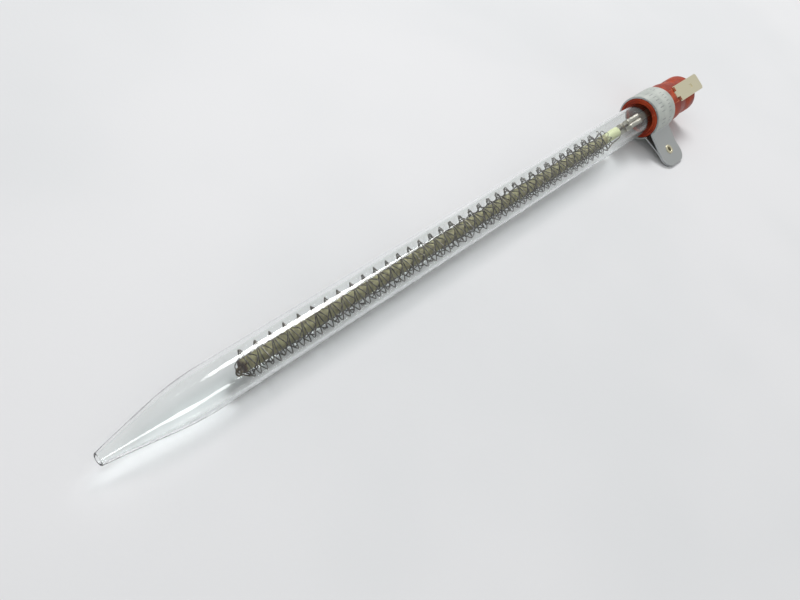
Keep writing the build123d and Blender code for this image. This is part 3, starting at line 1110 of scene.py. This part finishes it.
@dataclass
class Terminal:
    """One blade terminal with its crimped ferrule, drawn as the upper one and turned for the lower."""

    layout: Layout
    side: Side
    thickness: float = 0.8 * MM
    strip_width: float = 2.4 * MM
    strip_height: float = 1.4 * MM
    strip_inset: float = 1.0 * MM
    leg_x: float = -14.8 * MM
    blade_width: float = 6.35 * MM
    blade_chamfer: float = 1.0 * MM
    blade_front: float = 0.4 * MM
    blade_root: float = 3 * MM
    tip_bevel: float = 0.3
    inner_bend: float = 0.4
    outer_bend: float = 1.3
    shoulder: float = 0.6 * MM
    neck_width: float = 3.0 * MM
    neck_step: float = 0.5 * MM
    dimple_x: float = -3.6 * MM
    dimple: tuple[float, float, float] = (2.2 * MM, 1.7 * MM, 0.25 * MM)
    dimple_foot: tuple[float, float, float] = (0.8, 0.75, 1.0)
    ferrule_half: float = 1.7 * MM
    ferrule_wall: float = 0.45 * MM
    ferrule_corner: float = 0.35 * MM
    ferrule_rim: float = 0.08 * MM
    hump_lift: float = 0.55
    crimp_cuts: tuple[float, ...] = (0.12, 0.22, 0.78, 0.88)
    crimp_flare: tuple[float, float, float] = (0.96, 1.0, 1.03)

    def build_terminal(self) -> bmesh.types.BMesh:
        """Cuts and bends the terminal: inner strip, leg, and the blade with its locking dimple.

        Returns:
            The terminal's solid, as the upper one.
        """
        at, half = self.layout, self.thickness / 2
        blade_z = at.blade_top - half
        bend = self.thickness
        start_x, root_x = at.ferrule_start_x + self.strip_inset, self.leg_x + self.blade_root
        upper = [
            (start_x, self.strip_height + half), (self.leg_x - half, self.strip_height + half),
            (self.leg_x - half, blade_z + half), (root_x, blade_z + half),
        ]
        lower = [
            (root_x, blade_z - half), (self.leg_x + half, blade_z - half),
            (self.leg_x + half, self.strip_height - half), (start_x, self.strip_height - half),
        ]
        inside, outside = bend * self.inner_bend, bend * self.outer_bend
        radii = {1: inside, 2: outside, 5: inside, 6: outside}
        strip = sheet_part(rounded(upper + lower, radii), self.strip_width)
        upright = Matrix(((1, 0, 0, 0), (0, 0, -1, 0), (0, 1, 0, 0), (0, 0, 0, 1)))
        bmesh.ops.transform(strip, matrix=upright, verts=strip.verts)

        front, end, wide = self.leg_x + self.blade_front, at.blade_end_x, self.blade_width / 2
        step, neck, shoulder = self.neck_step, self.neck_width, self.shoulder
        outline = [
            (front, wide), (front, wide - neck), (front + step, wide - neck), (front + step, -wide),
            (end - self.blade_chamfer, -wide), (end, -wide + self.blade_chamfer),
            (end, wide - self.blade_chamfer), (end - self.blade_chamfer, wide),
        ]
        blade = sheet_part(rounded(outline, {0: shoulder * 0.5, 3: shoulder}), self.thickness)
        tip = [
            edge for edge in blade.edges
            if all(vert.co.x > end - NEAR for vert in edge.verts)
            and abs(edge.verts[0].co.z - edge.verts[1].co.z) < MERGE_DISTANCE
        ]
        bevel_edges(blade, tip, self.thickness * self.tip_bevel, 1)
        bmesh.ops.translate(blade, verts=blade.verts, vec=(0, 0, blade_z))
        whole = combined(blade, strip, Cut.JOIN)

        size = Vector(self.dimple)
        centre = Vector((self.dimple_x, 0, at.blade_top + size.z))
        below, above = Vector((size.x / 2, size.y / 2, 2 * size.z)), Vector((size.x / 2, size.y / 2, size.z))
        punch = block(centre - below, centre + above)
        foot = [vert for vert in punch.verts if vert.co.z < centre.z]
        bmesh.ops.scale(punch, vec=self.dimple_foot, space=Matrix.Translation(-centre), verts=foot)
        return combined(whole, punch, Cut.AWAY)

    def build_ferrule(self) -> bmesh.types.BMesh:
        """Rolls the ferrule: a floor under the strip and two wings curled down on the wire.

        Returns:
            The ferrule's solid, as the upper one.
        """
        at, half = self.layout, self.ferrule_half
        floor = self.strip_height - self.thickness / 2 - self.ferrule_wall
        hump_r = half / 2
        hump_z = self.strip_height + self.thickness / 2 + hump_r * self.hump_lift
        outline = [(half, floor), (half, hump_z)]
        outline += arc((hump_r, hump_z), hump_r, 8, 198, 10)
        outline += arc((-hump_r, hump_z), hump_r, -18, 172, 10)
        outline += [(-half, hump_z), (-half, floor)]
        last = len(outline) - 1
        length = at.ferrule_end_x - at.ferrule_start_x
        corners = {0: self.ferrule_corner, last: self.ferrule_corner}
        middle = (at.ferrule_start_x + at.ferrule_end_x) / 2
        bm = sheet_part(rounded(outline, corners, 4), length)
        stood_along_x(bm, at.ferrule_start_x, at.ferrule_end_x)
        # The crimping tool pinches the middle, so both mouths stand a little proud of it.
        cut_across(bm, [at.ferrule_start_x + share * length for share in self.crimp_cuts])
        pinched, even, proud = self.crimp_flare
        centre = Vector((0, 0, (floor + hump_z) / 2))
        for vert in bm.verts:
            reach = abs(vert.co.x - middle) / (length / 2)
            flare = pinched if reach < 0.6 else (even if reach < 0.8 else proud)
            vert.co.y = vert.co.y * flare
            vert.co.z = centre.z + (vert.co.z - centre.z) * flare
        rims = [
            edge for edge in bm.edges
            if all(abs(abs(vert.co.x - middle) - length / 2) < 1e-6 for vert in edge.verts)
        ]
        bevel_edges(bm, rims, self.ferrule_rim, 2)
        return bm

    def dress(self, effects: Effects) -> list[bpy.types.Object]:
        """Builds the terminal and its ferrule and puts them in place.

        Args:
            effects: The shared node groups.

        Returns:
            The two pieces.
        """
        name = self.side.name.lower()
        turn = self.layout.roll + math.radians(self.side.value)
        blade = Placing(f"{name}_blade", "element", f"{name}_terminal", "terminal_brass")
        crimp = Placing(f"{name}_crimp", "element", f"{name}_ferrule", "ferrule_nickel")
        return [
            put_in_place(self.build_terminal(), blade, shared(BRASS, effects), turn, 30.0, 0.07 * MM),
            put_in_place(self.build_ferrule(), crimp, shared(NICKEL, effects), turn, 40.0),
        ]


@dataclass
class EndCap:
    """The soft silicone cap: socket for the tube, air inlet, and a slot and flat for each terminal."""

    layout: Layout
    socket_depth: float = 15.0 * MM
    socket_gap: float = 0.02 * MM
    chamber_r: float = 4.3 * MM
    inlet_r: float = 4.0 * MM
    inlet_length: float = 13.0 * MM
    collar_r: float = 6.9 * MM
    collar_length: float = 5.5 * MM
    neck_r: float = 6.6 * MM
    neck_x: float = -8.0 * MM
    shoulder_x: float = -13.6 * MM
    ring_inner: float = 0.5 * MM
    ring_outer: float = 0.95 * MM
    ring_depth: float = 0.14 * MM
    flat_x: float = -15.95 * MM
    flat_z: float = 6.9 * MM
    flat_width: float = 6.75 * MM
    flat_round: float = 0.25 * MM
    slot: tuple[float, float, float] = (0.84 * MM, 2.44 * MM, 8.0 * MM)
    slot_x: float = -14.8 * MM
    segments: int = 96

    def build(self) -> bmesh.types.BMesh:
        """Turns the cap and cuts the terminals' slots and flats.

        Returns:
            The cap's solid.
        """
        at, slot_size = self.layout, Vector(self.slot)
        front, floor = at.cap_front_x, at.cap_front_x + self.ring_depth
        inner, outer = at.tube_r + self.ring_inner, at.tube_r + self.ring_outer
        socket_r, socket_end = at.tube_r + self.socket_gap, at.cap_front_x + self.socket_depth
        corners = [
            (front, socket_r), (front, inner), (floor, inner),
            (floor, outer), (front, outer), (front, at.cap_r),
            (self.shoulder_x, at.cap_r), (self.neck_x, self.neck_r), (-self.collar_length, self.collar_r),
            (0.0, self.collar_r), (0.0, self.inlet_r), (-self.inlet_length, self.inlet_r),
            (-self.inlet_length, self.chamber_r), (socket_end, self.chamber_r), (socket_end, socket_r),
        ]
        radii = {
            0: 0.12 * MM, 1: 0.1 * MM, 2: 0.12 * MM, 3: 0.12 * MM, 4: 0.1 * MM, 5: 0.7 * MM,
            6: 3.0 * MM, 7: 3.0 * MM, 8: 3.0 * MM, 9: 1.2 * MM, 10: 0.25 * MM,
        }
        cap = turned(rounded(corners, radii), self.segments)
        for side in Side:
            turn = Matrix.Rotation(math.radians(side.value), 4, "X")
            flat = block(
                Vector((self.flat_x, -self.flat_width / 2, self.flat_z)),
                Vector((at.blade_end_x, self.flat_width / 2, at.cap_r + 1 * MM)),
            )
            low_edges = [edge for edge in flat.edges if all(vert.co.z < at.cap_r for vert in edge.verts)]
            bevel_edges(flat, low_edges, self.flat_round, 4)
            slot = block(
                Vector((self.slot_x - slot_size.x / 2, -slot_size.y / 2, 1.0 * MM)),
                Vector((self.slot_x + slot_size.x / 2, slot_size.y / 2, slot_size.z)),
            )
            for cutter in (flat, slot):
                bmesh.ops.transform(cutter, matrix=turn, verts=cutter.verts)
                cap = combined(cap, cutter, Cut.AWAY)
        return cap

    def dress(self, bm: bmesh.types.BMesh, effects: Effects) -> bpy.types.Object:
        """Gives the cap its silicone finish and its place."""
        placing = Placing("silicone_cap", "element", "end_cap", "silicone")
        return put_in_place(bm, placing, SiliconeFinish().make(effects), self.layout.roll, 32.0)


@dataclass
class Clip:
    """The strap clip: a bent strap with two ears, the eyelet that joins them and the wrapped label."""

    layout: Layout
    thickness: float = 0.45 * MM
    ear_pinch: float = 14.3 * MM
    ear_level: float = -0.45 * MM
    ear_gap: float = 0.1 * MM
    upper_root: float = 1.1 * MM
    lower_root: float = -2.0 * MM
    root_round: float = 0.45 * MM
    pinch_round: float = 1.6 * MM
    ear_corner: float = 4.0 * MM
    strap_steps: int = 68
    drill_depth: float = 4 * MM
    barrel_r: float = 1.3 * MM
    flange_r: float = 1.8 * MM
    flange: float = 0.3 * MM
    lip_round: float = 0.28 * MM
    flange_round: float = 0.24 * MM
    label_thickness: float = 0.1 * MM
    label_start: float = 14.0
    label_end: float = 338.0

    def strap_line(self, depth: float) -> Outline:
        """One surface of the bent ribbon, from the upper ear's tip round to the lower ear's.

        Args:
            depth: How far the surface lies under the outer one.

        Returns:
            Its (y, z) points.
        """
        at = self.layout
        radius, rise = at.strap_r - depth, self.ear_gap / 2 + self.thickness - depth
        start = 180 - math.degrees(math.asin((self.upper_root - depth) / radius))
        end = -180 + math.degrees(math.asin(-(self.lower_root + depth) / radius))
        line = [
            (-at.ear_tip, self.ear_level + rise), (-self.ear_pinch, self.ear_level + rise),
            *arc((0, 0), radius, start, end, self.strap_steps),
            (-self.ear_pinch, self.ear_level - rise), (-at.ear_tip, self.ear_level - rise),
        ]
        last = len(line) - 1
        bend, pinch = self.root_round + depth, self.pinch_round
        return rounded(line, {1: pinch, 2: bend, last - 2: bend, last - 1: pinch})

    def build_strap(self) -> bmesh.types.BMesh:
        """Makes the strap of its bent profile, rounds its ear tips and drills the eyelet's hole.

        Returns:
            The strap's solid.
        """
        at = self.layout
        profile = self.strap_line(0.0) + self.strap_line(self.thickness)[::-1]
        bm = sheet_part(profile, at.strap_rear_x - at.strap_front_x)
        stood_along_x(bm, at.strap_front_x, at.strap_rear_x)
        tips = [
            edge for edge in bm.edges
            if all(vert.co.y < -at.ear_tip + NEAR for vert in edge.verts)
            and abs(edge.verts[0].co.x - edge.verts[1].co.x) < MERGE_DISTANCE
        ]
        bevel_edges(bm, tips, self.ear_corner, 10)
        drill = bmesh.new()
        bmesh.ops.create_cone(
            drill, cap_ends=True, segments=40, radius1=self.barrel_r, radius2=self.barrel_r,
            depth=self.drill_depth,
        )
        bmesh.ops.translate(drill, verts=drill.verts, vec=at.eyelet)
        return combined(bm, drill, Cut.AWAY)

    def build_eyelet(self) -> bmesh.types.BMesh:
        """Turns the tubular rivet with a rolled flange on each side.

        Returns:
            The eyelet's solid.
        """
        at = self.layout
        half = self.ear_gap / 2 + self.thickness
        top = half + self.flange
        corners = [
            (-top, at.eyelet_bore_r), (-top, self.flange_r), (-half, self.flange_r), (-half, self.barrel_r),
            (half, self.barrel_r), (half, self.flange_r), (top, self.flange_r), (top, at.eyelet_bore_r),
        ]
        radii = {0: self.lip_round, 1: self.flange_round, 6: self.flange_round, 7: self.lip_round}
        bm = turned(rounded(corners, radii), 48)
        stand = Matrix.Translation(at.eyelet) @ Matrix.Rotation(math.radians(-90), 4, "Y")
        bmesh.ops.transform(bm, matrix=stand, verts=bm.verts)
        return bm

    def build_label(self) -> bmesh.types.BMesh:
        """Wraps the thin label round the strap and lays its UV map out in millimetres.

        Returns:
            The label's solid.
        """
        at = self.layout
        inner, outer = at.label_r - self.label_thickness, at.label_r
        bm = bmesh.new()
        first = math.radians(180 - self.label_start)
        around = Matrix.Rotation(first, 4, "X")
        front, rear = at.label_front_x, at.label_rear_x
        outline = [(front, inner), (front, outer), (rear, outer), (rear, inner)]
        face = bm.faces.new([bm.verts.new(around @ Vector((x, radius, 0.0))) for x, radius in outline])
        bmesh.ops.spin(
            bm, geom=[face, *face.edges, *face.verts], cent=(0, 0, 0), axis=(1, 0, 0),
            angle=-math.radians(self.label_end - self.label_start), steps=110,
        )
        bmesh.ops.recalc_face_normals(bm, faces=bm.faces)
        wrap = bm.loops.layers.uv.new("wrap")
        width = rear - front
        for face in bm.faces:
            for loop in face.loops:
                spot = loop.vert.co
                angle = (math.atan2(spot.z, spot.y) - first) % -math.tau
                if angle < -math.radians(self.label_end - self.label_start) - 0.01:
                    angle = 0.0
                loop[wrap].uv = (-angle * outer / MM, (spot.x - front) / width)
        return bm

    def dress(self, effects: Effects) -> list[bpy.types.Object]:
        """Builds the strap, eyelet and label and puts them in place.

        Args:
            effects: The shared node groups.

        Returns:
            The three pieces.
        """
        roll = self.layout.roll
        strap = Placing("bent_strap", "clip", "clamp_strap", "strap_aluminium")
        eyelet = Placing("ear_eyelet", "clip", "clamp_eyelet", "eyelet_brass")
        label = Placing("wrapped_label", "clip", "clamp_label", "label_film")
        return [
            put_in_place(self.build_strap(), strap, shared(ALUMINIUM, effects), roll, 30.0, 0.06 * MM),
            put_in_place(self.build_eyelet(), eyelet, shared(EYELET_BRASS, effects), roll, 40.0),
            put_in_place(self.build_label(), label, LabelFinish().make(effects), roll, 40.0),
        ]


def shared(finish: MetalFinish, effects: Effects) -> bpy.types.Material:
    """The finish's material, made once and used by every piece that has it."""
    return bpy.data.materials.get(finish.name) or finish.make(effects)


# ---------------------------------------------------------------- table, lights and camera


@dataclass
class Table:
    """The flat surface that the element lies on, tilted to touch it at both ends."""

    layout: Layout
    size: float = 6.0
    rest_x: float = -232.5 * MM

    def lean(self) -> tuple[Vector, float]:
        """Where the tube touches the table, and how the table leans against the tube's axis.

        Returns:
            The touching point and the slope, as the fall for each unit of X.
        """
        touch = Vector((self.rest_x, 0.0, -self.layout.tube_r))
        slopes = []
        for node in ("clamp_strap", "lower_terminal", "end_cap"):
            for vert in frame["nodes"][node].data.vertices:
                slopes.append((vert.co.z - touch.z) / (vert.co.x - touch.x))
        return touch, min(slopes)

    def build(self, effects: Effects) -> bpy.types.Object:
        """Lays the table.

        Args:
            effects: The shared node groups.

        Returns:
            The table.
        """
        touch, slope = self.lean()
        bm = bmesh.new()
        bmesh.ops.create_grid(bm, x_segments=1, y_segments=1, size=self.size / 2)
        lay = Matrix.Translation(touch) @ Matrix.Rotation(-math.atan(slope), 4, "Y")
        bmesh.ops.transform(bm, matrix=lay, verts=bm.verts)
        table = bpy.data.objects.new("table", as_mesh(bm, "table"))
        table.data.materials.append(TableFinish().make(effects))
        bpy.context.scene.collection.objects.link(table)
        return table


@dataclass(frozen=True)
class Softbox:
    """A square or long area lamp: where it stands from the aim, and how large and bright it is."""

    name: str
    direction: tuple[float, float, float]
    distance: float
    width: float
    height: float
    power: float
    colour: tuple[float, float, float] = (1.0, 1.0, 1.0)

    def hang(self, aim: Vector) -> bpy.types.Object:
        """Hangs the lamp, facing the aim.

        Args:
            aim: The point that it lights.

        Returns:
            The lamp.
        """
        data = bpy.data.lights.new(self.name, "AREA")
        data.shape, data.size, data.size_y = "RECTANGLE", self.width, self.height
        data.energy, data.color = self.power, self.colour
        lamp = bpy.data.objects.new(self.name, data)
        towards = Vector(self.direction).normalized()
        turn = (-towards).to_track_quat("-Z", "Y").to_matrix().to_4x4()
        lamp.matrix_world = Matrix.Translation(aim + towards * self.distance) @ turn
        bpy.context.scene.collection.objects.link(lamp)
        return lamp


@dataclass
class Studio:
    """Plain soft studio light: a large softbox behind the cap, a fill, and a pale surround."""

    layout: Layout
    boxes: tuple[Softbox, ...] = (
        Softbox("key", (0.50, 0.42, 0.80), 1.3, 0.45, 0.35, 9.0),
        Softbox("fill", (-0.55, 0.30, 0.85), 1.6, 1.2, 1.2, 2.6, (0.97, 0.98, 1.0)),
    )
    surround: Colour = (0.97, 0.98, 0.97, 1.0)
    surround_strength: float = 0.56

    def light(self) -> None:
        """Hangs the lamps and sets the surround."""
        at = self.layout
        aim = Vector(((at.mouth_x + at.blade_end_x) / 2, 0, 0))
        for box in self.boxes:
            box.hang(aim)
        world = bpy.data.worlds.new("surround")
        bpy.context.scene.world = world
        world.use_nodes = True
        background = world.node_tree.nodes["Background"]
        background.inputs["Color"].default_value = self.surround
        background.inputs["Strength"].default_value = self.surround_strength
        bpy.context.scene.view_settings.view_transform = "Standard"


@dataclass
class Viewpoint:
    """The camera: over the line of the upper terminal, ahead of the nozzle, held at a tilt."""

    layout: Layout
    height: float = 174.75 * MM
    ahead: float = 53.15 * MM
    aim_share: float = 0.3341
    aim_side: float = 7.24 * MM
    lens: float = 38.25
    sensor: float = 36.0
    tilt: float = 28.15

    def build(self) -> bpy.types.Object:
        """Makes the scene's camera.

        Returns:
            The camera.
        """
        at = self.layout
        turn = Matrix.Rotation(at.roll, 3, "X")
        eye = turn @ Vector((at.mouth_x - self.ahead, 0, self.height))
        aim = turn @ Vector((at.mouth_x * (1 - self.aim_share), -self.aim_side, 0))
        data = bpy.data.cameras.new("camera")
        data.lens, data.sensor_width, data.clip_start = self.lens, self.sensor, 1 * MM
        camera = bpy.data.objects.new("camera", data)
        look = (aim - eye).to_track_quat("-Z", "Y").to_matrix().to_4x4()
        tilt = Matrix.Rotation(math.radians(self.tilt), 4, "Z")
        camera.matrix_world = Matrix.Translation(eye) @ look @ tilt
        bpy.context.scene.collection.objects.link(camera)
        bpy.context.scene.camera = camera
        return camera


def write_sizes() -> None:
    """Updates the view layer."""
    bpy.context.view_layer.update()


def main() -> None:
    """Builds the camera, the element, the table and the lights, in that order."""
    logging.basicConfig(level=logging.INFO, format="%(name)s %(message)s")
    layout = Layout.from_frame()
    effects = Effects.make()
    Viewpoint(layout).build()
    tube, cap = QuartzTube(layout), EndCap(layout)
    tube.dress(tube.build(), effects)
    HeaterCore(layout).dress(effects)
    for side in Side:
        Terminal(layout, side).dress(effects)
    cap.dress(cap.build(), effects)
    Clip(layout).dress(effects)
    Table(layout).build(effects)
    Studio(layout).light()
    write_sizes()


if __name__ == "__main__":
    main()
